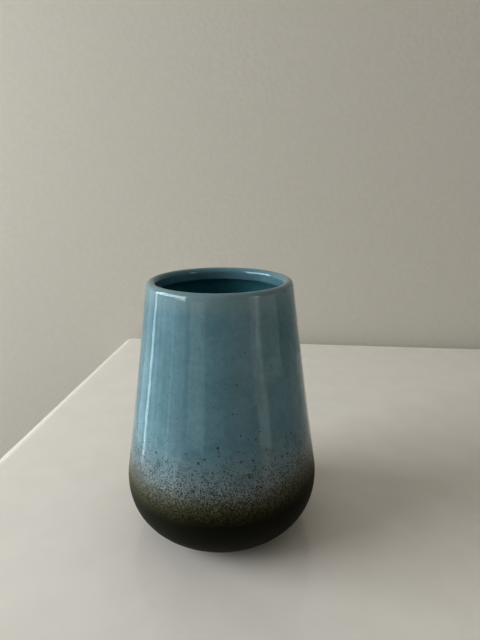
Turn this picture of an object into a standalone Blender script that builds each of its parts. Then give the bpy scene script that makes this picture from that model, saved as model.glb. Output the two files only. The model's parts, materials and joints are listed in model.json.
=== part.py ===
"""A glazed stoneware bud vase, in metres. +Z is up, the Z axis is the vase's own axis, and its foot stands on Z = 0.

One hollow clay body carries three coats of glaze, fused to it in the kiln: a blue coat over the lip and the outside of
the wall, a dark coat round the bowl, and a blue lining. Every part is a turned shape. Its section is drawn at +X as
(radius, height) points that run up the inside, over the rim and down the outside, and a Screw modifier turns it.
"""

import math

import bpy

# Driving dimensions
HEIGHT = 0.120  # from the foot to the top of the rim
NECK_RADIUS = 0.0324  # outside, where the line of the wall meets the level of the rim's top
WALL_BASE_RADIUS = 0.0450  # outside, where the wall runs into the bowl
WALL_BASE_HEIGHT = 0.0317
WALL_HOLLOW = 0.0003  # how far the wall bows inwards halfway up
BELLY_RADIUS = 0.04546  # outside, at the widest place
BELLY_HEIGHT = 0.0260
UNDER_RADIUS = 0.0225  # where the bowl's curve has turned level, within the foot ring
BELLY_PULL = 0.655  # how long the curve stays upright under the belly, as a share of its drop
UNDER_PULL = 0.47  # how long it runs level underneath, as a share of its reach
FOOT_LIFT = 0.0009  # how far the foot ring holds the bowl off the table
WALL = 0.00425  # thickness of the ware, from glazed face to glazed face
LIP_RADIUS = 0.0280  # inside, at the lip, which is the narrowest place
LIP_DEPTH = 0.0051  # from the top of the rim to the lip's lower edge
LIP_EDGE_ROUND = 0.0010  # the rounding of the lip's lower edge
LIP_ROOT_ROUND = 0.0003  # the rounding under it, where the lip meets the wall
LIP_EDGE_TURN = 75  # degrees that the lip's lower edge turns in under itself
GLAZE = 0.0005  # thickness of a coat
GAP = 0.0003  # between a coat and the clay, and between two coats
FOOT_RADIUS = 0.0246  # outside of the bare clay foot ring
FOOT_WIDTH = 0.0060
FOOT_ROUND = 0.0003  # the softened edges of the foot ring
RECESS = 0.0015  # depth of the hollow inside the foot ring

# Colour and roughness of each material
BARE_CLAY = ((0.62, 0.52, 0.41), 0.85)
BLUE_GLAZE = ((0.13, 0.30, 0.36), 0.12)
DARK_GLAZE = ((0.012, 0.012, 0.008), 0.40)
LINING_GLAZE = ((0.06, 0.17, 0.22), 0.15)

# How finely each stretch is drawn
TURN_STEPS = 40
WALL_STEPS = 5
SHOULDER_STEPS = 2
BOWL_STEPS = 8
HALF_RIM_STEPS = 3
LIP_EDGE_STEPS = 3
LIP_ROOT_STEPS = 2
FOOT_ROUND_STEPS = 2
MERGE = 0.00001  # under any distance between two points of a section

# What the dimensions give
TAPER = (WALL_BASE_RADIUS - NECK_RADIUS) / (HEIGHT - WALL_BASE_HEIGHT)
HOLLOW_SLOPE = 4 * WALL_HOLLOW / (HEIGHT - WALL_BASE_HEIGHT)
TOP_LEAN = math.atan(TAPER - HOLLOW_SLOPE)  # the wall's lean from upright, under the rim
BASE_LEAN = math.atan(TAPER + HOLLOW_SLOPE)  # and where it meets the bowl
RIM_ROUND = (NECK_RADIUS - LIP_RADIUS) / (1 / math.cos(TOP_LEAN) + 1 - math.tan(TOP_LEAN))


def arc(centre, radius, start, end, steps):
    """Points on a circle from one angle to another, in degrees, both ends included."""
    angles = [math.radians(start + (end - start) * i / steps) for i in range(steps + 1)]
    return [(centre[0] + radius * math.cos(a), centre[1] + radius * math.sin(a)) for a in angles]


def curve(start, pull_start, pull_end, end, steps):
    """Points on a Bezier curve after its start, the end included."""
    points = []
    for i in range(1, steps + 1):
        t = i / steps
        weights = ((1 - t) ** 3, 3 * (1 - t) ** 2 * t, 3 * (1 - t) * t**2, t**3)
        handles = (start, pull_start, pull_end, end)
        points.append(tuple(sum(w * h[k] for w, h in zip(weights, handles)) for k in range(2)))
    return points


def sunk(line, depth):
    """The line moved into the ware, which lies to the right of its direction."""
    moved = []
    for i, (radius, height) in enumerate(line):
        before = line[max(i - 1, 0)]
        after = line[min(i + 1, len(line) - 1)]
        along = (after[0] - before[0], after[1] - before[1])
        length = math.hypot(*along)
        moved.append((radius + depth * along[1] / length, height - depth * along[0] / length))
    return moved


def wall_radius(height):
    """Outside radius of the wall: a straight taper, bowed inwards a little."""
    up = (height - WALL_BASE_HEIGHT) / (HEIGHT - WALL_BASE_HEIGHT)
    straight = WALL_BASE_RADIUS + (NECK_RADIUS - WALL_BASE_RADIUS) * up
    return straight - 4 * WALL_HOLLOW * up * (1 - up)


def wall_line(top, bottom):
    """The outside of the wall from one height down to another."""
    heights = [top + (bottom - top) * i / WALL_STEPS for i in range(WALL_STEPS + 1)]
    return [(wall_radius(height), height) for height in heights]


def bowl_line():
    """The outside of the bowl, from the foot of the wall past the belly to where it has turned level."""
    wall_base = (WALL_BASE_RADIUS, WALL_BASE_HEIGHT)
    belly = (BELLY_RADIUS, BELLY_HEIGHT)
    under = (UNDER_RADIUS, FOOT_LIFT)
    shoulder_pull = (WALL_BASE_HEIGHT - BELLY_HEIGHT) / 3
    on_slope = (
        WALL_BASE_RADIUS + shoulder_pull * math.tan(BASE_LEAN),
        WALL_BASE_HEIGHT - shoulder_pull,
    )
    above_belly = (BELLY_RADIUS, BELLY_HEIGHT + shoulder_pull)
    below_belly = (BELLY_RADIUS, BELLY_HEIGHT - BELLY_PULL * (BELLY_HEIGHT - FOOT_LIFT))
    beside_under = (UNDER_RADIUS + UNDER_PULL * (BELLY_RADIUS - UNDER_RADIUS), FOOT_LIFT)
    shoulder = curve(wall_base, on_slope, above_belly, belly, SHOULDER_STEPS)
    return shoulder + curve(belly, below_belly, beside_under, under, BOWL_STEPS)


def rim_line():
    """The round rim, from its inner side over the top to where it meets the wall."""
    centre = (LIP_RADIUS + RIM_ROUND, HEIGHT - RIM_ROUND)
    inner = arc(centre, RIM_ROUND, 180, 90, HALF_RIM_STEPS)
    outer = arc(centre, RIM_ROUND, 90, math.degrees(TOP_LEAN), HALF_RIM_STEPS)
    return inner + outer[1:]


def lip_line():
    """The lip inside the mouth, from where it meets the wall up to its straight inner face."""
    edge_centre = (LIP_RADIUS + LIP_EDGE_ROUND, HEIGHT - LIP_DEPTH)
    turned_in = 180 + LIP_EDGE_TURN
    reach = LIP_EDGE_ROUND + LIP_ROOT_ROUND
    root_centre = arc(edge_centre, reach, turned_in, turned_in, 1)[0]
    root = arc(root_centre, LIP_ROOT_ROUND, math.degrees(TOP_LEAN), LIP_EDGE_TURN, LIP_ROOT_STEPS)
    edge = arc(edge_centre, LIP_EDGE_ROUND, turned_in, 180, LIP_EDGE_STEPS)
    return root + edge[1:]


def lining_line(top):
    """The inside of the ware, from the middle of the floor up to the given height."""
    outside = wall_line(top + WALL * math.sin(TOP_LEAN), WALL_BASE_HEIGHT) + bowl_line()
    floor = (0, FOOT_LIFT + WALL)
    return [floor] + sunk(outside, WALL)[::-1]


def foot_line():
    """The bare clay foot, from under the dark coat to the middle of the recess."""
    outer = FOOT_RADIUS - FOOT_ROUND
    inner = FOOT_RADIUS - FOOT_WIDTH + FOOT_ROUND
    return (
        [(FOOT_RADIUS, FOOT_LIFT + GLAZE + GAP)]
        + arc((outer, FOOT_ROUND), FOOT_ROUND, 0, -90, FOOT_ROUND_STEPS)
        + arc((inner, FOOT_ROUND), FOOT_ROUND, 270, 180, FOOT_ROUND_STEPS)
        + [(inner - FOOT_ROUND, RECESS), (0, RECESS)]
    )


def coat(face):
    """The section of a coat of glaze behind its face."""
    return face + sunk(face, GLAZE)[::-1]


def turned(name, section, finish):
    """One turned part. A section whose ends both lie on the axis stays open, and any other is a ring."""
    on_axis = section[0][0] < MERGE and section[-1][0] < MERGE
    edges = [(i, i + 1) for i in range(len(section) - 1)]
    if not on_axis:
        edges.append((len(section) - 1, 0))
    mesh = bpy.data.meshes.new(name)
    mesh.from_pydata([(radius, 0, height) for radius, height in section], edges, [])
    part = bpy.data.objects.new(name, mesh)
    bpy.context.collection.objects.link(part)

    screw = part.modifiers.new("turn", "SCREW")
    screw.axis = "Z"
    screw.angle = math.tau
    screw.steps = TURN_STEPS
    screw.render_steps = TURN_STEPS
    screw.use_merge_vertices = True
    screw.merge_threshold = MERGE
    screw.use_smooth_shade = True

    colour, roughness = finish
    material = bpy.data.materials.new(name)
    material.use_nodes = True
    shader = material.node_tree.nodes["Principled BSDF"]
    shader.inputs["Base Color"].default_value = (*colour, 1)
    shader.inputs["Roughness"].default_value = roughness
    shader.inputs["Metallic"].default_value = 0
    mesh.materials.append(material)
    return part


for old in list(bpy.data.objects):
    bpy.data.objects.remove(old, do_unlink=True)

lip = lip_line()
rim = rim_line()
wall_top = rim[-1][1]
glazed_bowl = [point for point in bowl_line() if point[0] > FOOT_RADIUS + GAP]
dark_face = [(WALL_BASE_RADIUS, WALL_BASE_HEIGHT)] + glazed_bowl
blue_face = lip + rim + wall_line(wall_top, WALL_BASE_HEIGHT + GAP)[1:]
lining_face = lining_line(lip[0][1] - GAP)

clay_inside = sunk(lining_face + lip, GLAZE + GAP)
clay_outside = sunk(rim + wall_line(wall_top, WALL_BASE_HEIGHT)[1:] + glazed_bowl, GLAZE + GAP)
turned("clay_body", clay_inside + clay_outside + foot_line(), BARE_CLAY)
turned("blue_outer_glaze", coat(blue_face), BLUE_GLAZE)
turned("dark_base_glaze", coat(dark_face), DARK_GLAZE)
turned("blue_inner_glaze", coat(lining_face), LINING_GLAZE)
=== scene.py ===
# %% [markdown]
# # A glazed stoneware bud vase
# The real vase is one fired pot. A hollow clay body carries three coats of glaze, fused to it in the kiln:
# a blue coat over the lip and the wall, a dark coat sprayed round the bowl, and a blue lining. The CAD
# model has the same four pieces, with facets. This script turns each of them again as a fine, smooth piece
# in the same place, and glazes it.

# %% Load the frame
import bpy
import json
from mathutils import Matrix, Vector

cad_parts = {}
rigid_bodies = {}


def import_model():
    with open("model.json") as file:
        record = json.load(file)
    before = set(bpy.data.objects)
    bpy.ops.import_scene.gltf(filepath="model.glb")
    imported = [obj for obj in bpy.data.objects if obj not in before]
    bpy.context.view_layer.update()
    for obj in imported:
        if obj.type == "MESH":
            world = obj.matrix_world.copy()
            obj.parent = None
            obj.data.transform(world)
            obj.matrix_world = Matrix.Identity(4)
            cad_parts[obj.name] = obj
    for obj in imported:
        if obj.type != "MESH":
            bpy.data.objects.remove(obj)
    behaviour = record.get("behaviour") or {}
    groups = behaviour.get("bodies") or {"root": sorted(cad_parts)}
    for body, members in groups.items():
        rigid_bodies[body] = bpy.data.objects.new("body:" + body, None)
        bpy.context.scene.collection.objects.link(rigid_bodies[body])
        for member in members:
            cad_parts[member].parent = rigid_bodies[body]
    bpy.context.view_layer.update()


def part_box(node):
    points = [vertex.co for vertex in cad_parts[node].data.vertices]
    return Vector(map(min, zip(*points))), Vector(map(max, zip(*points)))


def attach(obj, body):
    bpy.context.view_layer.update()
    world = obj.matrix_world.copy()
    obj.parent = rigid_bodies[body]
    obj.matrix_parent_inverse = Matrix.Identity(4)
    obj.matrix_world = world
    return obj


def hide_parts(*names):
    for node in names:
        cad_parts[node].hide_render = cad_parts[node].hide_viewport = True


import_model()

import json
import math

import bpy

# %% [markdown]
# ## The sizes
# What the frame shows is measured from it: the height, the belly and the line where the dark coat begins.
# What the boxes can't show, such as the thickness of the ware and the shape of the lip, is given in metres
# at the step that needs it, as a potter would write it beside the drawing.

# %% Measure the frame
HEIGHT = float(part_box("blue_outer_glaze")[1][2])
BELLY_RADIUS = float(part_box("dark_base_glaze")[1][0])
WALL_BASE_HEIGHT = float(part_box("dark_base_glaze")[1][2])
print(f"height {HEIGHT:.4f}, belly radius {BELLY_RADIUS:.5f}, dark coat from {WALL_BASE_HEIGHT:.4f} down")

# %% [markdown]
# ## The camera
# The view looks down a little at the vase from close by, so the mouth shows as a flat ellipse and the wall
# seems to narrow quickly. A short lens close to the pot gives that, where a long lens from far away
# wouldn't.

# %% Place the camera
CAMERA_PLACE = (0.0090, -0.2107, 0.1602)
CAMERA_PITCH = math.radians(15.73)
CAMERA_ROLL = math.radians(0.1)
LENS_MM = 27.06
NEAREST = 0.01

lens = bpy.data.cameras.new("view")
lens.lens = LENS_MM
lens.clip_start = NEAREST
camera = bpy.data.objects.new("camera", lens)
camera.location = CAMERA_PLACE
camera.rotation_euler = (math.pi / 2 - CAMERA_PITCH, CAMERA_ROLL, 0)
bpy.context.collection.objects.link(camera)
bpy.context.scene.camera = camera
print("camera at", tuple(camera.location))

# %% [markdown]
# ## The outline
# A turned pot is fully described by one line: from the middle of the floor up the inside, round the lip,
# over the rim, down the wall and round the bowl to the foot. It could be drawn point by point, but then it
# would never be quite smooth, so it is put together from arcs, Bezier curves and one formula. Every point
# is a radius and a height.


# %% Curves of the outline
def arc(centre, radius, start, end, steps):
    """Points on a circle from one angle to another, in degrees, both ends included."""
    angles = [math.radians(start + (end - start) * i / steps) for i in range(steps + 1)]
    return [(centre[0] + radius * math.cos(a), centre[1] + radius * math.sin(a)) for a in angles]


def curve(start, pull_start, pull_end, end, steps):
    """Points on a Bezier curve after its start, the end included."""
    points = []
    for i in range(1, steps + 1):
        t = i / steps
        weights = ((1 - t) ** 3, 3 * (1 - t) ** 2 * t, 3 * (1 - t) * t**2, t**3)
        handles = (start, pull_start, pull_end, end)
        points.append(tuple(sum(w * h[k] for w, h in zip(weights, handles)) for k in range(2)))
    return points


def sunk(line, depth):
    """The line moved into the ware, which lies to the right of its direction."""
    moved = []
    for i, (radius, height) in enumerate(line):
        before = line[max(i - 1, 0)]
        after = line[min(i + 1, len(line) - 1)]
        along = (after[0] - before[0], after[1] - before[1])
        length = math.hypot(*along)
        moved.append((radius + depth * along[1] / length, height - depth * along[0] / length))
    return moved


# %% [markdown]
# ## The wall
# From the bowl to the rim the wall is a straight taper that bows in by a third of a millimetre. A parabola
# does that with one number, and gives the lean at either end as well, which the rim and the bowl need.

# %% Draw the wall
NECK_RADIUS = 0.0324  # where the line of the wall meets the level of the rim's top
WALL_BASE_RADIUS = 0.0450  # where the wall runs into the bowl
WALL_HOLLOW = 0.0003  # how far the wall bows inwards halfway up
WALL_STEPS = 60
TAPER = (WALL_BASE_RADIUS - NECK_RADIUS) / (HEIGHT - WALL_BASE_HEIGHT)
HOLLOW_SLOPE = 4 * WALL_HOLLOW / (HEIGHT - WALL_BASE_HEIGHT)
TOP_LEAN = math.atan(TAPER - HOLLOW_SLOPE)
BASE_LEAN = math.atan(TAPER + HOLLOW_SLOPE)


def wall_radius(height):
    """Outside radius of the wall at a height."""
    up = (height - WALL_BASE_HEIGHT) / (HEIGHT - WALL_BASE_HEIGHT)
    return WALL_BASE_RADIUS + (NECK_RADIUS - WALL_BASE_RADIUS) * up - 4 * WALL_HOLLOW * up * (1 - up)


def wall_line(top):
    """The outside of the wall from a height down to the bowl."""
    heights = [top + (WALL_BASE_HEIGHT - top) * i / WALL_STEPS for i in range(WALL_STEPS + 1)]
    return [(wall_radius(height), height) for height in heights]


leans = [round(math.degrees(lean), 1) for lean in (TOP_LEAN, BASE_LEAN)]
print("the wall leans in by", leans[0], "degrees at the rim and", leans[1], "at the bowl")

# %% [markdown]
# ## The bowl
# The bowl is two Bezier curves that meet upright at the belly. The upper one carries on the slope of the
# wall, so no crease shows where they join, and the lower one turns level under the foot.

# %% Draw the bowl
BELLY_HEIGHT = 0.0260  # the height of the widest place
UNDER_RADIUS = 0.0225  # where the bowl has turned level, within the foot ring
FOOT_LIFT = 0.0009  # how far the foot ring holds the bowl off the table
BELLY_PULL = 0.655  # how long the curve stays upright under the belly, as a share of its drop
UNDER_PULL = 0.47  # how long it runs level underneath, as a share of its reach
SHOULDER_STEPS = 8
BOWL_STEPS = 48


def bowl_line():
    """The outside of the bowl, past the belly, to where it has turned level under the foot."""
    pull = (WALL_BASE_HEIGHT - BELLY_HEIGHT) / 3
    drop = BELLY_PULL * (BELLY_HEIGHT - FOOT_LIFT)
    reach = UNDER_PULL * (BELLY_RADIUS - UNDER_RADIUS)
    wall_base = (WALL_BASE_RADIUS, WALL_BASE_HEIGHT)
    on_slope = (WALL_BASE_RADIUS + pull * math.tan(BASE_LEAN), WALL_BASE_HEIGHT - pull)
    belly = (BELLY_RADIUS, BELLY_HEIGHT)
    above = (BELLY_RADIUS, BELLY_HEIGHT + pull)
    below = (BELLY_RADIUS, BELLY_HEIGHT - drop)
    under = (UNDER_RADIUS, FOOT_LIFT)
    beside = (UNDER_RADIUS + reach, FOOT_LIFT)
    shoulder = curve(wall_base, on_slope, above, belly, SHOULDER_STEPS)
    return shoulder + curve(belly, below, beside, under, BOWL_STEPS)


print("widest radius of the bowl", round(max(radius for radius, height in bowl_line()), 5))

# %% [markdown]
# ## The rim and the lip
# The rim is one round arc, from the straight inner face of the lip over the top to the slope of the wall.
# The lip stands a millimetre proud inside the mouth and is undercut a little below, and that undercut is
# the thin dark line seen under the rim.

# %% Draw the rim and the lip
LIP_RADIUS = 0.0280  # inside, at the lip, which is the narrowest place
LIP_DEPTH = 0.0051  # from the top of the rim to the lip's lower edge
LIP_EDGE_ROUND = 0.0010
LIP_ROOT_ROUND = 0.0003
LIP_EDGE_TURN = 75  # degrees that the lip's lower edge turns in under itself
RIM_ROUND = (NECK_RADIUS - LIP_RADIUS) / (1 / math.cos(TOP_LEAN) + 1 - math.tan(TOP_LEAN))
HALF_RIM_STEPS = 14
LIP_EDGE_STEPS = 10
LIP_ROOT_STEPS = 6
LIP_FACE_STEPS = 4

rim_centre = (LIP_RADIUS + RIM_ROUND, HEIGHT - RIM_ROUND)
rim = arc(rim_centre, RIM_ROUND, 180, 90, HALF_RIM_STEPS)
rim += arc(rim_centre, RIM_ROUND, 90, math.degrees(TOP_LEAN), HALF_RIM_STEPS)[1:]

edge_centre = (LIP_RADIUS + LIP_EDGE_ROUND, HEIGHT - LIP_DEPTH)
lip_edge = arc(edge_centre, LIP_EDGE_ROUND, 180 + LIP_EDGE_TURN, 180, LIP_EDGE_STEPS)
root_centre = arc(edge_centre, LIP_EDGE_ROUND + LIP_ROOT_ROUND, 180 + LIP_EDGE_TURN, 180, 1)[0]
lip_root = arc(root_centre, LIP_ROOT_ROUND, math.degrees(TOP_LEAN), LIP_EDGE_TURN, LIP_ROOT_STEPS)
face_bottom = lip_edge[-1][1]
face_rise = rim[0][1] - face_bottom
lip_face = [(LIP_RADIUS, face_bottom + face_rise * i / LIP_FACE_STEPS) for i in range(1, LIP_FACE_STEPS)]
lip = lip_root + lip_edge[1:] + lip_face
print("the rim's round is", round(RIM_ROUND * 1000, 2), "mm, and the lip has", len(lip), "points")

# %% [markdown]
# ## The lining and the floor
# The ware is as thick everywhere, so the inside is the outside sunk by that thickness and run backwards,
# from the floor up to the root of the lip.

# %% Draw the inside
WALL = 0.00425  # thickness of the ware, from glazed face to glazed face
LIP_ROOT_ROOM = 0.0002  # left between the last point of the lining and the lip's root
FLOOR_STEPS = 12

lining_top = lip_root[0][1] + WALL * math.sin(TOP_LEAN) - LIP_ROOT_ROOM
lining = sunk(wall_line(lining_top) + bowl_line(), WALL)[::-1]
floor_height = FOOT_LIFT + WALL
floor = [(lining[0][0] * i / FLOOR_STEPS, floor_height) for i in range(FLOOR_STEPS)]
print("the floor is", round(lining[0][0] * 1000, 1), "mm in radius, at", round(floor_height * 1000, 2), "mm")

# %% [markdown]
# ## The end of the glaze
# A potter wipes the glaze off a little way above the foot ring, so that it doesn't run onto the kiln shelf.
# The coat ends there in a soft round edge, which turns in square to the bowl. With that the line is whole,
# from the middle of the floor to the last of the glaze.

# %% Draw the whole face of the glaze
FOOT_RADIUS = 0.0246  # outside of the bare clay foot ring
BARE_BAND = 0.0008  # clay left bare between the ring and the glaze
GLAZE_END_ROUND = 0.0006
GLAZE_END_STEPS = 6

glaze_end_radius = FOOT_RADIUS + BARE_BAND
bowl = [point for point in bowl_line() if point[0] > glaze_end_radius + GLAZE_END_ROUND]
(r0, z0), (r1, z1) = bowl[-2:]
heading = math.degrees(math.atan2(z1 - z0, r1 - r0))
end_centre = arc(bowl[-1], GLAZE_END_ROUND, heading - 90, heading - 90, 1)[0]
glaze_end = arc(end_centre, GLAZE_END_ROUND, heading + 90, heading, GLAZE_END_STEPS)[1:]

glazed = floor + lining + lip + rim + wall_line(rim[-1][1])[1:] + bowl
face = glazed + glaze_end
print(len(face), "points on the face of the glaze")

# %% [markdown]
# ## Turning the glaze
# On the wheel a pot grows round its axis. Here one point is extruded along the outline, and a Screw modifier
# sweeps the line once round. Spin in edit mode gives the same shape, but it slows down badly with many
# steps, and a glossy pot needs many. The whole glazed face is turned as one skin, because the coats meet
# without a step on the pot. Points on the axis are merged, and then the normals are made to face outwards.


# %% A wheel for outlines
TURN_STEPS = 256
SAME_POINT = 0.00001
SEED_SIZE = 0.0001  # of the plane that is merged into the first point


def turned(name, line):
    """A mesh turned about the Z axis from a line of (radius, height) points."""
    bpy.ops.object.select_all(action="DESELECT")
    bpy.ops.mesh.primitive_plane_add(size=SEED_SIZE, location=(line[0][0], 0, line[0][1]))
    piece = bpy.context.object
    piece.name = name
    piece.data.name = name
    bpy.ops.object.transform_apply(location=True, rotation=False, scale=False)
    bpy.ops.object.mode_set(mode="EDIT")
    bpy.ops.mesh.select_all(action="SELECT")
    bpy.ops.mesh.merge(type="CENTER")
    for (r0, z0), (r1, z1) in zip(line, line[1:]):
        bpy.ops.mesh.extrude_vertices_move(TRANSFORM_OT_translate={"value": (r1 - r0, 0, z1 - z0)})
    bpy.ops.object.mode_set(mode="OBJECT")
    wheel = piece.modifiers.new("wheel", "SCREW")
    wheel.axis = "Z"
    wheel.angle = math.tau
    wheel.steps = TURN_STEPS
    wheel.render_steps = TURN_STEPS
    wheel.use_merge_vertices = True
    wheel.merge_threshold = SAME_POINT
    bpy.ops.object.modifier_apply(modifier=wheel.name)
    bpy.ops.object.mode_set(mode="EDIT")
    bpy.ops.mesh.select_all(action="SELECT")
    bpy.ops.mesh.remove_doubles(threshold=SAME_POINT)
    bpy.ops.mesh.normals_make_consistent(inside=False)
    bpy.ops.object.mode_set(mode="OBJECT")
    return piece


# %% Turn the skin and see which way it faces
HALFWAY_BAND = 0.002


def outwards(centre, normal):
    """How far a face looks away from the axis, from 1 for straight out to -1 for straight in."""
    reach = math.hypot(centre[0], centre[1])
    return (centre[0] * normal[0] + centre[1] * normal[1]) / reach if reach > 0 else 0


glaze_skin = turned("glaze_skin", face)
halfway = [f for f in glaze_skin.data.polygons if abs(f.center.z - HEIGHT / 2) < HALFWAY_BAND]
outer = [outwards(f.center, f.normal) for f in halfway if f.normal.z > 0]
print(len(glaze_skin.data.polygons), "faces; the wall looks outwards by", round(sum(outer) / len(outer), 3))

# %% [markdown]
# ## The hand of the glaze
# Fired glaze is never as true as a turned outline. It gathers and thins by a few hundredths of a
# millimetre, which is what makes a long reflection waver. A Displace modifier with a soft cloud does that
# to the whole skin, and only inwards, so that the pot stays inside its own size.

# %% Let the glaze waver
WAVER_SIZE = 0.010
WAVER_DEPTH = 0.00014
BELLY_BAND = 0.0006

clouds = bpy.data.textures.new("glaze_waver", "CLOUDS")
clouds.noise_scale = WAVER_SIZE
clouds.noise_depth = 1
waver = glaze_skin.modifiers.new("waver", "DISPLACE")
waver.texture = clouds
waver.texture_coords = "LOCAL"
waver.mid_level = 1
waver.strength = WAVER_DEPTH
bpy.context.view_layer.objects.active = glaze_skin
bpy.ops.object.modifier_apply(modifier=waver.name)
at_belly = [v.co for v in glaze_skin.data.vertices if abs(v.co.z - BELLY_HEIGHT) < BELLY_BAND]
reach = [math.hypot(place.x, place.y) for place in at_belly]
print(f"belly radius now {min(reach) * 1000:.3f} to {max(reach) * 1000:.3f} mm")

# %% [markdown]
# ## Parting the skin into its coats
# The three coats are cut from the one skin, so that they meet exactly: the lining is every face that looks
# in or up below the lip, the dark coat is what remains under its line, and the blue coat is the rest.

# %% Part the coats
LIP_ROOT_HEIGHT = lip_root[0][1]
LEVEL = 0.9  # a face whose normal rises by more than this lies level


def is_lining(f):
    """True for a face of the lining: inside, between the floor and the lip."""
    within = floor_height - WALL / 2 < f.center.z < LIP_ROOT_HEIGHT
    return within and (outwards(f.center, f.normal) < 0 or f.normal.z > LEVEL)


def is_base(f):
    """True for a face of the dark coat: outside, under the line where it begins."""
    return f.center.z < WALL_BASE_HEIGHT and not is_lining(f)


def part(skin, name, chosen):
    """The chosen faces of a skin, cut off as a piece of their own."""
    bpy.ops.object.select_all(action="DESELECT")
    skin.select_set(True)
    bpy.context.view_layer.objects.active = skin
    bpy.ops.object.mode_set(mode="EDIT")
    bpy.ops.mesh.select_all(action="DESELECT")
    bpy.ops.object.mode_set(mode="OBJECT")
    for f in skin.data.polygons:
        f.select = chosen(f)
    before = set(bpy.data.objects)
    bpy.ops.object.mode_set(mode="EDIT")
    bpy.ops.mesh.separate(type="SELECTED")
    bpy.ops.object.mode_set(mode="OBJECT")
    piece = (set(bpy.data.objects) - before).pop()
    piece.name = name
    piece.data.name = name
    return piece


blue_lining_coat = part(glaze_skin, "blue_lining_coat", is_lining)
dark_base_coat = part(glaze_skin, "dark_base_coat", is_base)
blue_outer_coat = glaze_skin
blue_outer_coat.name = "blue_outer_coat"
blue_outer_coat.data.name = "blue_outer_coat"
coats = (blue_outer_coat, dark_base_coat, blue_lining_coat)
print("faces of each coat:", [len(coat.data.polygons) for coat in coats])

# %% [markdown]
# ## The thickness of a coat
# A coat of glaze is about half a millimetre thick. Solidify adds that inwards, so the outside stays where it
# is, and closes each coat into a solid of its own. Its corners stay sharp, and all the rest is shaded
# smooth.

# %% Give the coats their thickness
GLAZE = 0.0005
SMOOTH_UP_TO = math.radians(40)


def smoothed(piece):
    """Shades a piece smooth, apart from its sharp corners."""
    bpy.ops.object.select_all(action="DESELECT")
    piece.select_set(True)
    bpy.context.view_layer.objects.active = piece
    bpy.ops.object.shade_smooth_by_angle(angle=SMOOTH_UP_TO)


for coat in coats:
    thickness = coat.modifiers.new("thickness", "SOLIDIFY")
    thickness.thickness = GLAZE
    thickness.offset = -1
    thickness.use_even_offset = True
    bpy.context.view_layer.objects.active = coat
    bpy.ops.object.modifier_apply(modifier=thickness.name)
    smoothed(coat)
    heights = [v.co.z for v in coat.data.vertices]
    print(coat.name, len(coat.data.polygons), f"faces, {min(heights):.5f} to {max(heights):.5f}")

# %% [markdown]
# ## The clay ware
# Under the glaze is a hollow pot of pale stoneware. All of it is covered but the foot: a low ring, wiped
# clean of glaze before the firing so that the pot doesn't stick to the kiln shelf, round a shallow recess.
# The glaze stops a little above the ring, so a narrow band of clay shows there too. The ware is turned as
# one closed outline: the glazed face again, sunk below the coats, and then the foot.

# %% Turn the clay
CLAY_DEPTH = 0.0007  # from the face of the glaze down to the clay
FOOT_WIDTH = 0.0060
FOOT_ROUND = 0.0004
FOOT_ROUND_STEPS = 6
FOOT_ROOT_STEPS = 5
RECESS = 0.0015  # depth of the hollow inside the foot ring
RECESS_ROUND = 0.0005
RECESS_STEPS = 8

ring_outer = FOOT_RADIUS - FOOT_ROUND
ring_inner = FOOT_RADIUS - FOOT_WIDTH + FOOT_ROUND
recess_wall = FOOT_RADIUS - FOOT_WIDTH
recess_flat = recess_wall - RECESS_ROUND
clay_under = FOOT_LIFT + CLAY_DEPTH

clay_face = [(max(radius, 0), height) for radius, height in sunk(glazed, CLAY_DEPTH)]
foot = arc((FOOT_RADIUS + FOOT_ROUND, clay_under - FOOT_ROUND), FOOT_ROUND, 90, 180, FOOT_ROOT_STEPS)
foot += arc((ring_outer, FOOT_ROUND), FOOT_ROUND, 0, -90, FOOT_ROUND_STEPS)
foot += arc((ring_inner, FOOT_ROUND), FOOT_ROUND, 270, 180, FOOT_ROUND_STEPS)
foot += arc((recess_flat, RECESS - RECESS_ROUND), RECESS_ROUND, 0, 90, FOOT_ROUND_STEPS)
foot += [(recess_flat * (1 - i / RECESS_STEPS), RECESS) for i in range(1, RECESS_STEPS + 1)]
clay_ware = turned("clay_ware", clay_face + foot)
smoothed(clay_ware)
print("clay_ware", len(clay_ware.data.polygons), "faces")

# %% [markdown]
# ## Building finishes from nodes
# A finish is a small network: the place of each point of the surface goes in, and colour, gloss and relief
# come out. Object coordinates are metres in the vase's own frame, so a pattern keeps its real size and goes
# round the pot without a seam. These helpers only save typing: each adds one node or two and joins whatever
# it is given to their inputs.


# %% Start a finish
def new_finish(name):
    """A material with its node tree, its shader and the object coordinates."""
    finish = bpy.data.materials.new(name)
    finish.use_nodes = True
    tree = finish.node_tree
    place = tree.nodes.new("ShaderNodeTexCoord").outputs["Object"]
    return finish, tree, tree.nodes["Principled BSDF"], place


def put(tree, value, socket):
    """Joins an output to a socket, or sets the socket to a plain value."""
    if isinstance(value, bpy.types.NodeSocket):
        tree.links.new(value, socket)
    elif isinstance(value, tuple) and socket.type == "RGBA":
        socket.default_value = (*value, 1)
    else:
        socket.default_value = value


# %% Arithmetic and colour
def calc(tree, operation, a, b=0.0):
    """One step of arithmetic."""
    step = tree.nodes.new("ShaderNodeMath")
    step.operation = operation
    put(tree, a, step.inputs[0])
    put(tree, b, step.inputs[1])
    return step.outputs[0]


def remap(tree, value, low, high, to_low=0.0, to_high=1.0):
    """A value carried smoothly from one range to another, and held at its ends."""
    step = tree.nodes.new("ShaderNodeMapRange")
    step.interpolation_type = "SMOOTHSTEP"
    for given, socket in zip((value, low, high, to_low, to_high), step.inputs):
        put(tree, given, socket)
    return step.outputs["Result"]


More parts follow.
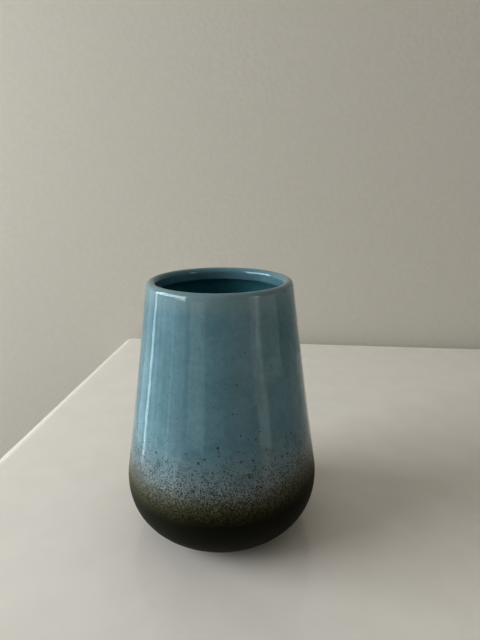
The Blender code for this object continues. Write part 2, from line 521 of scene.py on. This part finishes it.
def mix(tree, share, a, b, how="MIX"):
    """Two colours mixed by a share."""
    step = tree.nodes.new("ShaderNodeMix")
    step.data_type = "RGBA"
    step.blend_type = how
    put(tree, share, step.inputs["Factor"])
    put(tree, a, step.inputs["A"])
    put(tree, b, step.inputs["B"])
    return next(out for out in step.outputs if out.type == "RGBA")


def ramp(tree, value, stops):
    """A colour or a grey read off a row of (place, colour) stops."""
    step = tree.nodes.new("ShaderNodeValToRGB")
    elements = step.color_ramp.elements
    while len(elements) < len(stops):
        elements.new(1)
    for element, (position, colour) in zip(elements, stops):
        element.position = position
        element.color = (*colour, 1) if isinstance(colour, tuple) else (colour, colour, colour, 1)
    put(tree, value, step.inputs["Fac"])
    return step.outputs["Color"]


# %% [markdown]
# ## Patterns of glaze and clay
# Noise gives the soft clouds of a glaze and the grain of clay. Its values crowd round a half, so a pattern
# is always read between two values near the middle, and the rest is held. A mottled colour is the plain
# colour made a few percent darker and lighter by such a pattern, which is all that keeps a poured glaze from
# looking like plastic.

# %% Clouds and mottling
CLOUD_EDGES = (0.35, 0.65)  # the two values that clouds are read between
MOTTLE_EDGES = (0.3, 0.7)  # and those for mottling, which is softer


def noise(tree, place, size, detail=2.0, roughness=0.5):
    """Soft noise, from 0 to 1, with features of a size in metres."""
    step = tree.nodes.new("ShaderNodeTexNoise")
    put(tree, place, step.inputs["Vector"])
    step.inputs["Scale"].default_value = 1 / size
    step.inputs["Detail"].default_value = detail
    step.inputs["Roughness"].default_value = roughness
    return step.outputs["Fac"]


def mottled(tree, colour, pattern, shades):
    """A colour made a little darker and lighter by a pattern."""
    shade = remap(tree, pattern, *MOTTLE_EDGES, *shades)
    return mix(tree, 1.0, colour, shade, "MULTIPLY")


def relief(tree, shader, height, depth):
    """Bump of a depth in metres from a height between 0 and 1."""
    step = tree.nodes.new("ShaderNodeBump")
    step.inputs["Distance"].default_value = depth
    put(tree, height, step.inputs["Height"])
    put(tree, step.outputs["Normal"], shader.inputs["Normal"])


# %% Places on the pot
def axes(tree, place):
    """The three coordinates of a place, one by one."""
    split = tree.nodes.new("ShaderNodeSeparateXYZ")
    put(tree, place, split.inputs["Vector"])
    return split.outputs


def from_axis(tree, parts):
    """The distance from the vase's axis."""
    across = calc(tree, "POWER", parts["X"], 2.0)
    along = calc(tree, "POWER", parts["Y"], 2.0)
    return calc(tree, "SQRT", calc(tree, "ADD", across, along))


def stretched(tree, place, scale):
    """Coordinates stretched or squeezed along the axes."""
    step = tree.nodes.new("ShaderNodeMapping")
    put(tree, place, step.inputs["Vector"])
    step.inputs["Scale"].default_value = scale
    return step.outputs["Vector"]


def height_ramp(tree, height, stops):
    """A ramp over the vase's height, with its stops in metres."""
    share = calc(tree, "DIVIDE", height, HEIGHT)
    return ramp(tree, share, [(metres / HEIGHT, value) for metres, value in stops])


# %% [markdown]
# ## Drops of glaze
# Drops of sprayed glaze are nearly round, and no two are the same size. Each cell of a Voronoi pattern has
# a middle and a colour of its own. The middle is where a drop lands, the red of the colour says whether one
# does, and the green says how big it is. Noise pushes the coordinates about first, so the drops come out
# uneven.

# %% Scatter drops
SMALLEST_DROP = 0.5  # as a share of the largest
DROP_OUTSIDE = 1.15  # where its soft edge ends, as a share of its radius
DROP_INSIDE = 0.75  # and where it begins
UNEVEN_SIZE = 1.2  # of the noise that pushes it about, as a share of its radius
UNEVEN_REACH = 0.9  # and how far that pushes


def warped(tree, place, size, reach):
    """Coordinates pushed about by noise of a size, by up to a reach in metres."""
    push = tree.nodes.new("ShaderNodeTexNoise")
    put(tree, place, push.inputs["Vector"])
    push.inputs["Scale"].default_value = 1 / size
    centred = tree.nodes.new("ShaderNodeVectorMath")
    centred.operation = "SUBTRACT"
    put(tree, push.outputs["Color"], centred.inputs[0])
    centred.inputs[1].default_value = (0.5, 0.5, 0.5)
    moved = tree.nodes.new("ShaderNodeVectorMath")
    moved.operation = "MULTIPLY_ADD"
    put(tree, centred.outputs["Vector"], moved.inputs[0])
    moved.inputs[1].default_value = (2 * reach, 2 * reach, 2 * reach)
    put(tree, place, moved.inputs[2])
    return moved.outputs["Vector"]


def drops(tree, place, cell, size, amount):
    """Uneven drops: 1 inside one and 0 outside. amount is the share of the cells that hold one."""
    cells = tree.nodes.new("ShaderNodeTexVoronoi")
    uneven = warped(tree, place, UNEVEN_SIZE * size, UNEVEN_REACH * size)
    put(tree, uneven, cells.inputs["Vector"])
    cells.inputs["Scale"].default_value = 1 / cell
    chance = tree.nodes.new("ShaderNodeSeparateColor")
    put(tree, cells.outputs["Color"], chance.inputs["Color"])
    largest = size / cell
    reach = remap(tree, chance.outputs["Green"], 0.0, 1.0, SMALLEST_DROP * size / cell, largest)
    from_middle = calc(tree, "DIVIDE", cells.outputs["Distance"], reach)
    inside = remap(tree, from_middle, DROP_OUTSIDE, DROP_INSIDE)
    held = calc(tree, "LESS_THAN", chance.outputs["Red"], amount)
    return calc(tree, "MULTIPLY", inside, held)


# %% [markdown]
# ## The clean blue
# The glossy grey-blue that covers the pot is softly clouded, as a dipped glaze is. It ran thin over the top
# of the rim, where it is greyer and paler.

# %% Blue, from the wall to the rim
BLUE = (0.150, 0.275, 0.325)
DEEP_BLUE = (0.118, 0.232, 0.280)
RIM_GREY = (0.230, 0.330, 0.350)
BLUE_CLOUD = 0.022
BLUE_GRAIN = 0.0025
BLUE_SHADES = (0.94, 1.06)
RIM_TOP = ((0.110, 0.0), (0.1185, 1.0))  # how thin it ran, by height
RIM_INNER_EDGE = LIP_RADIUS + 0.0004
RIM_INNER_FULL = LIP_RADIUS + 0.0020
RIM_THINNEST = 0.75  # the most that the grey shows through


def clean_blue(tree, place, parts):
    """Clouded blue glaze, which turns greyer over the rim."""
    clouds = remap(tree, noise(tree, place, BLUE_CLOUD, 3.0), *CLOUD_EDGES)
    blue = mix(tree, clouds, DEEP_BLUE, BLUE)
    blue = mottled(tree, blue, noise(tree, place, BLUE_GRAIN, 3.0), BLUE_SHADES)
    radius = from_axis(tree, parts)
    off_lip = remap(tree, radius, RIM_INNER_EDGE, RIM_INNER_FULL, 0.0, RIM_THINNEST)
    thin = calc(tree, "MULTIPLY", height_ramp(tree, parts["Z"], RIM_TOP), off_lip)
    return mix(tree, thin, blue, RIM_GREY)


# %% [markdown]
# ## The spray
# An iron-black glaze was sprayed over the blue from below. It thins out upwards: solid black, then
# olive-brown with flecks of paler glaze, then a mist, then single drops. Two materials with a hard line
# between them would look painted, so both outer coats share one recipe, which goes by height. The hand that
# sprayed it wasn't level, so the heights are slanted a little from left to right and drift up and down
# round the pot.

# %% How high the spray reaches
SPRAY_DROP = 0.0019  # how far the whole spray lies below the heights given in the next cells
SPRAY_SLANT = -0.04  # for each metre to the right, so that the spray lies lower on the left
DRIFT_SIZE = 0.030
DRIFT = 0.006


def spray_height(tree, place, parts):
    """The height that the spray goes by: the real one, slanted and drifting."""
    drift = calc(tree, "MULTIPLY", calc(tree, "SUBTRACT", noise(tree, place, DRIFT_SIZE), 0.5), DRIFT)
    slant = calc(tree, "MULTIPLY", parts["X"], SPRAY_SLANT)
    lowered = calc(tree, "ADD", parts["Z"], SPRAY_DROP)
    return calc(tree, "ADD", lowered, calc(tree, "ADD", drift, slant))


# %% How much iron has landed
# Each row goes by height: for drops, the share of the cells that hold one, and for mist, how thick it is.
BIG_DROP_CELL = 0.0027
BIG_DROP = 0.00060
BIG_DROPS = ((0.046, 0.9), (0.056, 0.65), (0.061, 0.22), (0.067, 0.05), (0.075, 0.012), (0.110, 0.006))
SMALL_DROP_CELL = 0.0015
SMALL_DROP = 0.00042
SMALL_DROPS = ((0.040, 1.0), (0.050, 0.85), (0.058, 0.50), (0.064, 0.18), (0.070, 0.05), (0.100, 0.0))
MIST_GRAIN = 0.0006
MIST_GRAIN_EDGES = (0.28, 0.72)
MIST = (
    (0.028, 1.1),
    (0.032, 0.92),
    (0.036, 0.75),
    (0.040, 0.52),
    (0.045, 0.33),
    (0.052, 0.16),
    (0.060, 0.0),
)
MIST_SOFTNESS = 0.10


def iron_cover(tree, place, height):
    """How much the iron covers, from 0 to 1: big drops, small drops and a fine mist."""
    big = drops(tree, place, BIG_DROP_CELL, BIG_DROP, height_ramp(tree, height, BIG_DROPS))
    small = drops(tree, place, SMALL_DROP_CELL, SMALL_DROP, height_ramp(tree, height, SMALL_DROPS))
    grain = remap(tree, noise(tree, place, MIST_GRAIN, 2.0, 0.7), *MIST_GRAIN_EDGES)
    over_grain = calc(tree, "SUBTRACT", height_ramp(tree, height, MIST), grain)
    mist = remap(tree, over_grain, -MIST_SOFTNESS, MIST_SOFTNESS)
    return calc(tree, "MAXIMUM", calc(tree, "MAXIMUM", big, small), mist)


# %% [markdown]
# ## Under the spray
# Where the spray is thick, the blue between its drops isn't clean any more. It is washed out to a pale grey
# first and stained olive lower down, and here and there the two glazes ran together in inky blotches.

# %% What the spray does to the blue
PALE_GREY = (0.205, 0.255, 0.270)
OLIVE_GREY = (0.150, 0.160, 0.125)
STAINED = (0.080, 0.078, 0.045)
INK_BLUE = (0.020, 0.045, 0.060)
STAINS = ((0.030, STAINED), (0.036, OLIVE_GREY), (0.042, PALE_GREY))  # what the blue turns into, by height
WASHED = ((0.040, 1.0), (0.046, 0.75), (0.054, 0.30), (0.062, 0.0))  # how much of it does
BLOTCH_SIZE = 0.0045
BLOTCH_EDGES = (0.45, 0.68)
BLOTCH_DEPTH = 0.42
BLOTCHES = ((0.036, 0.2), (0.044, 0.8), (0.056, 0.7), (0.066, 0.0))  # how dark they are, by height


def under_spray(tree, place, height, blue):
    """The blue between the drops, washed, stained and blotched."""
    stained = height_ramp(tree, height, STAINS)
    ground = mix(tree, height_ramp(tree, height, WASHED), blue, stained)
    patchy = remap(tree, noise(tree, place, BLOTCH_SIZE, 3.0), *BLOTCH_EDGES, 0.0, BLOTCH_DEPTH)
    blotch = calc(tree, "MULTIPLY", patchy, height_ramp(tree, height, BLOTCHES))
    return mix(tree, blotch, ground, INK_BLUE)


# %% The colour of the iron itself
OLIVE = (0.068, 0.064, 0.026)
BROWN_BLACK = (0.014, 0.013, 0.005)
IRON_BLACK = (0.0015, 0.0015, 0.0010)
FLECK_SIZE = 0.0008
FLECK_EDGES = (0.46, 0.60)
FLECKS_BEGIN = ((0.0275, 0.0), (0.033, 1.0))
INK_BEGINS = ((0.042, 0.0), (0.050, 1.0))


def iron_colour(tree, place, height):
    """Black at the foot, then brown with olive flecks, and inky where single drops lie on the blue."""
    fleck = remap(tree, noise(tree, place, FLECK_SIZE, 2.0, 0.6), *FLECK_EDGES)
    flecked = mix(tree, fleck, BROWN_BLACK, OLIVE)
    brown = mix(tree, height_ramp(tree, height, FLECKS_BEGIN), IRON_BLACK, flecked)
    return mix(tree, height_ramp(tree, height, INK_BEGINS), brown, INK_BLUE)


# %% [markdown]
# ## The two outer coats
# The clean blue is glossy, and what the iron has covered is dull and mirrors only a third as much. The blue
# coat reads the strength of its mirror off a ramp where the two meet. Nearly all of the dark coat lies
# below that, so it keeps one plain value, which also travels better in an export. Runs down the wall and
# the slightly raised drops give a relief about as fine as a hair.

# %% The recipe of the outside
IRON_STRENGTH = 0.92  # even solid iron lets a little of the ground through
MATT_MIRROR = 0.16
CLEAR_MIRROR = 0.5
MIRROR = ((0.030, MATT_MIRROR), (0.040, 0.40), (0.050, CLEAR_MIRROR))  # its strength, by height
MATTNESS = ((0.030, 0.42), (0.037, 0.30), (0.045, 0.12), (0.053, 0.07))  # roughness, by height
IRON_MATTNESS = 0.08
RUN_STRETCH = (1, 1, 0.25)
RUN_SIZE = 0.005
GRIT = 0.35
GLAZE_RELIEF = 0.00006


def outside_glaze(name, reaches_clear):
    """Blue glaze under a spray of iron-black. reaches_clear is for a coat that goes up to the clean blue."""
    finish, tree, shader, place = new_finish(name)
    parts = axes(tree, place)
    height = spray_height(tree, place, parts)
    iron = iron_cover(tree, place, height)
    ground = under_spray(tree, place, height, clean_blue(tree, place, parts))
    covered = calc(tree, "MULTIPLY", iron, IRON_STRENGTH)
    colour = mix(tree, covered, ground, iron_colour(tree, place, height))
    put(tree, colour, shader.inputs["Base Color"])

    matt = height_ramp(tree, height, MATTNESS)
    gloss = calc(tree, "ADD", matt, calc(tree, "MULTIPLY", iron, IRON_MATTNESS))
    put(tree, gloss, shader.inputs["Roughness"])
    shader.inputs["Specular IOR Level"].default_value = MATT_MIRROR
    if reaches_clear:
        put(tree, height_ramp(tree, height, MIRROR), shader.inputs["Specular IOR Level"])
    runs = noise(tree, stretched(tree, place, RUN_STRETCH), RUN_SIZE, 2.0)
    grit = calc(tree, "MULTIPLY", iron, GRIT)
    relief(tree, shader, calc(tree, "ADD", runs, grit), GLAZE_RELIEF)
    return finish


blue_glaze = outside_glaze("sprayed_blue_glaze", True)
dark_glaze = outside_glaze("sprayed_dark_glaze", False)
print("outside glaze:", len(blue_glaze.node_tree.nodes), "nodes")

# %% [markdown]
# ## The lining
# Inside, the same blue was poured in and out again, so it is even, glossy and a little deeper where it ran
# together. Its colour is darkened just under the lip: painted shade for the undercut.

# %% The recipe of the lining
LINING_BLUE = (0.095, 0.265, 0.315)
LINING_DEEP = (0.075, 0.225, 0.270)
LINING_CLOUD = 0.018
LINING_SPECK_CELL = 0.0060
LINING_SPECK = 0.0004
LINING_SPECK_SHARE = 0.15
# painted shade under the lip: the height where it fades out, and how dark it gets at the lip
LIP_PAINTED_SHADE_END = 0.108
LIP_PAINTED_SHADE = 0.5
LINING_GLOSS = (0.07, 0.12)
LINING_WAVE = 0.006
LINING_RELIEF = 0.00005


def lining_glaze():
    """Poured blue glaze with soft clouds, a few iron specks and painted shade under the lip."""
    finish, tree, shader, place = new_finish("poured_lining_glaze")
    clouds = remap(tree, noise(tree, place, LINING_CLOUD, 3.0), *CLOUD_EDGES)
    colour = mix(tree, clouds, LINING_DEEP, LINING_BLUE)
    colour = mottled(tree, colour, noise(tree, place, BLUE_GRAIN, 3.0), BLUE_SHADES)
    level = axes(tree, place)["Z"]
    # painted shade: the colour is darkened towards the lip, where the undercut would shade it
    painted_lip_shade = remap(tree, level, LIP_PAINTED_SHADE_END, HEIGHT - LIP_DEPTH, 1.0, LIP_PAINTED_SHADE)
    colour = mix(tree, 1.0, colour, painted_lip_shade, "MULTIPLY")
    specks = drops(tree, place, LINING_SPECK_CELL, LINING_SPECK, LINING_SPECK_SHARE)
    put(tree, mix(tree, specks, colour, INK_BLUE), shader.inputs["Base Color"])
    put(tree, remap(tree, clouds, 0.0, 1.0, *LINING_GLOSS), shader.inputs["Roughness"])
    relief(tree, shader, noise(tree, place, LINING_WAVE, 2.0), LINING_RELIEF)
    return finish


poured_glaze = lining_glaze()
print("lining glaze:", len(poured_glaze.node_tree.nodes), "nodes")

# %% [markdown]
# ## The bare clay
# Unglazed stoneware is pale buff and matt, with a sandy grain, dark specks of iron and faint rings from the
# sponge.

# %% The recipe of the clay
CLAY_BUFF = (0.560, 0.450, 0.330)
CLAY_PALE = (0.660, 0.560, 0.430)
CLAY_IRON = (0.120, 0.065, 0.035)
CLAY_CLOUD = 0.010
SAND = 0.0006
SAND_SHADES = (0.85, 1.1)
CLAY_SPECK_CELL = 0.0016
CLAY_SPECK = 0.00022
CLAY_SPECK_SHARE = 0.35
CLAY_MATTNESS = (0.75, 0.95)
RING_SPACING = 0.0008
RING_DEPTH = 0.12
CLAY_RELIEF = 0.00008


def clay_finish():
    """Buff stoneware with a sandy grain, iron specks and fine rings."""
    finish, tree, shader, place = new_finish("bare_stoneware")
    clouds = remap(tree, noise(tree, place, CLAY_CLOUD, 4.0), *MOTTLE_EDGES)
    sand = noise(tree, place, SAND, 3.0, 0.7)
    colour = mottled(tree, mix(tree, clouds, CLAY_BUFF, CLAY_PALE), sand, SAND_SHADES)
    specks = drops(tree, place, CLAY_SPECK_CELL, CLAY_SPECK, CLAY_SPECK_SHARE)
    put(tree, mix(tree, specks, colour, CLAY_IRON), shader.inputs["Base Color"])
    matt = remap(tree, sand, *MOTTLE_EDGES, *CLAY_MATTNESS)
    put(tree, matt, shader.inputs["Roughness"])
    radius = from_axis(tree, axes(tree, place))
    rings = calc(tree, "SINE", calc(tree, "MULTIPLY", radius, math.tau / RING_SPACING))
    rough = calc(tree, "ADD", sand, calc(tree, "MULTIPLY", rings, RING_DEPTH))
    relief(tree, shader, rough, CLAY_RELIEF)
    return finish


bare_clay = clay_finish()
print("bare clay:", len(bare_clay.node_tree.nodes), "nodes")

# %% [markdown]
# ## Dressing the pieces
# Each piece gets its finish, rides on the vase's one body and stands in for the CAD piece of the same name.

# %% Finish, ride and replace
DRESSING = (
    (clay_ware, bare_clay, "bare_clay", "clay_body"),
    (blue_outer_coat, blue_glaze, "blue_glaze", "blue_outer_glaze"),
    (dark_base_coat, dark_glaze, "dark_glaze", "dark_base_glaze"),
    (blue_lining_coat, poured_glaze, "lining_glaze", "blue_inner_glaze"),
)
for piece, finish, slot, node in DRESSING:
    piece.data.materials.clear()
    piece.data.materials.append(finish)
    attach(piece, "root")
    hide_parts(node)
    print(piece.name, "stands for", node)

# %% [markdown]
# ## The table and the wall
# The vase stands on a pale, slightly glossy table in front of a plain wall. The table is a slab with rounded
# edges, so that its far left corner shows and catches the light from the window. Its big faces would look
# tilted if the rounding bent their normals, so the bevel hardens them. The wall ends a little way past the
# corner, because the glaze has to see the room beside it.

# %% Build the stage
TABLE_TURN = math.radians(-6)
TABLE_CORNER = (-0.118, 0.297)
TABLE_LENGTH = 0.60
TABLE_DEPTH = 0.55
TABLE_THICKNESS = 0.03
TABLE_ROUND = 0.012
TABLE_ROUND_STEPS = 6
WALL_GAP = 0.004
WALL_THICKNESS = 0.05
WALL_LEFT = 0.35
WALL_SPAN = 2.4
WALL_HEIGHT = 2.4


def slab(name, size, corner):
    """A box with one top corner at a place, turned as the table is."""
    bpy.ops.object.select_all(action="DESELECT")
    bpy.ops.mesh.primitive_cube_add(size=1)
    piece = bpy.context.object
    piece.name = name
    bpy.ops.object.mode_set(mode="EDIT")
    bpy.ops.mesh.select_all(action="SELECT")
    bpy.ops.transform.resize(value=size)
    bpy.ops.transform.translate(value=(size[0] / 2, -size[1] / 2, -size[2] / 2))
    bpy.ops.transform.rotate(value=-TABLE_TURN, orient_axis="Z", center_override=(0, 0, 0))
    bpy.ops.transform.translate(value=corner)
    bpy.ops.object.mode_set(mode="OBJECT")
    return piece


table = slab("table", (TABLE_LENGTH, TABLE_DEPTH, TABLE_THICKNESS), (*TABLE_CORNER, 0))
smoothed(table)
edges = table.modifiers.new("edges", "BEVEL")
edges.width = TABLE_ROUND
edges.segments = TABLE_ROUND_STEPS
edges.harden_normals = True
bpy.ops.object.modifier_apply(modifier=edges.name)

wall_behind = WALL_GAP + WALL_THICKNESS
along = (math.cos(TABLE_TURN), math.sin(TABLE_TURN))
wall_corner = (
    TABLE_CORNER[0] - along[0] * WALL_LEFT - along[1] * wall_behind,
    TABLE_CORNER[1] - along[1] * WALL_LEFT + along[0] * wall_behind,
    WALL_HEIGHT / 2,
)
backdrop = slab("backdrop", (WALL_SPAN, WALL_THICKNESS, WALL_HEIGHT), wall_corner)
for piece in (table, backdrop):
    corners = [v.co for v in piece.data.vertices]
    left = min(place.x for place in corners)
    back = max(place.y for place in corners)
    print(piece.name, f"x from {left:.3f}, y to {back:.3f}")

# %% [markdown]
# ## Lacquer and paint
# The table is white lacquer, smooth enough to mirror the window softly. The wall is matt paint. Perfectly
# even surfaces look made up, so both have the slightest mottling and relief.

# %% Finishes of the stage
STAGE_SHADES = (0.985, 1.015)
TABLE_WHITE = (0.88, 0.86, 0.815)
TABLE_GLOSS = 0.07
TABLE_UNEVEN = 0.02
TABLE_RELIEF = 0.000003
WALL_WHITE = (0.595, 0.575, 0.525)
WALL_MATTNESS = 0.7
WALL_GRAIN = 0.004
WALL_RELIEF = 0.0002


def stage_finish(name, colour, roughness, texture_size, depth):
    """A plain pale surface with the slightest unevenness."""
    finish, tree, shader, place = new_finish(name)
    soft = noise(tree, place, texture_size, 3.0)
    put(tree, mottled(tree, colour, soft, STAGE_SHADES), shader.inputs["Base Color"])
    shader.inputs["Roughness"].default_value = roughness
    relief(tree, shader, soft, depth)
    return finish


lacquer = stage_finish("white_lacquer", TABLE_WHITE, TABLE_GLOSS, TABLE_UNEVEN, TABLE_RELIEF)
paint = stage_finish("painted_wall", WALL_WHITE, WALL_MATTNESS, WALL_GRAIN, WALL_RELIEF)
for piece, finish in ((table, lacquer), (backdrop, paint)):
    piece.data.materials.clear()
    piece.data.materials.append(finish)
    print(piece.name, "is finished in", finish.name)

# %% [markdown]
# ## The light
# The light is one big soft window to the left and a little in front, so the vase is bright on its left and
# its soft shadow falls to the right. The lamp is hidden from the gloss, where its bare rectangle would show,
# and the painted room below shows the window in its place. The rest is the even, faintly warm light of a
# pale room.

# %% Hang the window
AIM = (0, 0, 0.06)
WINDOW_AZIMUTH = 80
WINDOW_ELEVATION = 18
WINDOW_DISTANCE = 1.3
WINDOW_SIZE = (1.0, 0.8)
WINDOW_WATTS = 19.5
WINDOW_COLOUR = (0.96, 0.98, 1.0)


def area_light(name, azimuth, elevation, distance, size, watts, colour):
    """A rectangular lamp that faces the vase. Azimuth runs from the camera's side to the left, in degrees."""
    lamp = bpy.data.lights.new(name, "AREA")
    lamp.shape = "RECTANGLE"
    lamp.size = size[0]
    lamp.size_y = size[1]
    lamp.energy = watts
    lamp.color = colour
    stand = bpy.data.objects.new(name, lamp)
    turn = math.radians(azimuth)
    lift = math.radians(elevation)
    level = distance * math.cos(lift)
    left = level * math.sin(turn)
    front = level * math.cos(turn)
    up = distance * math.sin(lift)
    stand.location = (AIM[0] - left, AIM[1] - front, AIM[2] + up)
    stand.rotation_euler = (math.pi / 2 - lift, 0, -turn)
    stand.visible_camera = False
    bpy.context.collection.objects.link(stand)
    return stand


window = area_light(
    "window", WINDOW_AZIMUTH, WINDOW_ELEVATION, WINDOW_DISTANCE, WINDOW_SIZE, WINDOW_WATTS, WINDOW_COLOUR
)
window.visible_glossy = False
print("window", [round(v, 2) for v in window.location])

# %% [markdown]
# ## The room in the gloss
# A glossy pot is a mirror of its room. The wall of this one leans back, so it mirrors what is low down to
# the left and right: a sunlit floor by the window, a tall bright gap beside it, and a few paler uprights.
# They are painted on the world by direction, and only glossy rays see them, so they put streaks on the
# glaze but no light on the table. A direction is an azimuth, in degrees from the camera's side to the left,
# and a rise, which is 0 at the horizon and 1 straight up. Noise that goes by azimuth alone breaks the
# patches up into soft uprights, as blinds would.

# %% Directions of the room
RISE_SOFTNESS = 0.03

room = bpy.data.worlds.new("room")
room.use_nodes = True
sky = room.node_tree
background = sky.nodes["Background"]
parts = axes(sky, sky.nodes.new("ShaderNodeTexCoord").outputs["Generated"])
leftwards = calc(sky, "MULTIPLY", parts["X"], -1.0)
towards = calc(sky, "MULTIPLY", parts["Y"], -1.0)
azimuth = calc(sky, "MULTIPLY", calc(sky, "ARCTAN2", leftwards, towards), 180 / math.pi)
rise = parts["Z"]


def between(value, low, high, soft):
    """1 between two values and 0 outside them, with soft ends."""
    begun = remap(sky, value, low - soft, low + soft)
    not_over = remap(sky, value, high + soft, high - soft)
    return calc(sky, "MULTIPLY", begun, not_over)


def patch(first, last, low, high, soft, strength):
    """A bright patch of the room between two azimuths and two rises, with soft sides."""
    sides = between(azimuth, first, last, soft)
    ends = between(rise, low, high, RISE_SOFTNESS)
    return calc(sky, "MULTIPLY", calc(sky, "MULTIPLY", sides, ends), strength)


# %% Paint the room
ROOM = (
    # azimuth from and to, rise from and to, softness of the sides, strength
    (50, 109, 0.02, 0.55, 1.0, 8.5),  # the window, over the horizon
    (50, 103, -0.75, -0.03, 10, 1.10),  # the sunlit floor under it
    (112, 160, -0.60, 0.20, 4, 0.95),  # the wall beside it
    (130, 170, -0.40, 0.30, 4, 1.10),  # and its paler far end
    (104.2, 110.0, -0.60, 0.30, 1.0, 3.9),  # the tall bright gap
    (19, 41, -0.60, 0.05, 0.8, 0.85),  # a pale panel near the camera
    (66, 69, -0.60, 0.0, 1.0, 0.8),  # an upright
    (50, 52, -0.60, 0.0, 1.0, 0.6),  # a thinner one
    (-60, -46, -0.22, 0.05, 3, 0.60),  # a low pale shape on the right
    (-57, -53, -0.12, 0.05, 1, 0.90),  # and its bright edge
    (-64, -48, 0.10, 0.45, 2, 3.00),  # a second window, high on the right
    (-115, -20, -0.60, 0.05, 12, 0.40),  # the dim floor on the right
)
BLIND_SCALE = 0.16
BLIND_SHADES = (0.75, 1.25)

glow = 0.0
for first, last, low, high, soft, strength in ROOM:
    glow = calc(sky, "ADD", glow, patch(first, last, low, high, soft, strength))
blinds = sky.nodes.new("ShaderNodeTexNoise")
blinds.noise_dimensions = "1D"
put(sky, azimuth, blinds.inputs["W"])
blinds.inputs["Scale"].default_value = BLIND_SCALE
blinds.inputs["Detail"].default_value = 3.0
streaks = remap(sky, blinds.outputs["Fac"], *CLOUD_EDGES, *BLIND_SHADES)
glow = calc(sky, "MULTIPLY", glow, streaks)
print("the room has", len(ROOM), "patches, and its shader", len(sky.nodes), "nodes")

# %% Light the room
AMBIENT = (1.0, 0.95, 0.87)
AMBIENT_STRENGTH = 0.36
DAYLIGHT = (0.80, 0.96, 1.0)
DAYLIGHT_FROM = 40
DAYLIGHT_FULL = 70

glossy = sky.nodes.new("ShaderNodeLightPath").outputs["Is Glossy Ray"]
glow = calc(sky, "MULTIPLY", glow, glossy)
by_window = calc(sky, "MULTIPLY", glossy, remap(sky, azimuth, DAYLIGHT_FROM, DAYLIGHT_FULL))
put(sky, mix(sky, by_window, AMBIENT, DAYLIGHT), background.inputs["Color"])
put(sky, calc(sky, "ADD", glow, AMBIENT_STRENGTH), background.inputs["Strength"])
bpy.context.scene.world = room
print("the room's own light is", AMBIENT_STRENGTH)

# %% [markdown]
# ## The tone
# The plain Standard view shows colours as they are. A gamma under 1 deepens the middle tones a little, as a
# camera does, and a small black level lets the darkest glaze sink to a true black.

# %% Set the tone
TONE_GAMMA = 0.8
BLACK_LEVEL = 0.006

tone = bpy.context.scene.view_settings
tone.view_transform = "Standard"
tone.gamma = TONE_GAMMA
tone.use_curve_mapping = True
tone.curve_mapping.black_level = (BLACK_LEVEL, BLACK_LEVEL, BLACK_LEVEL)
tone.curve_mapping.update()
print("view:", tone.view_transform, "with gamma", round(tone.gamma, 2))
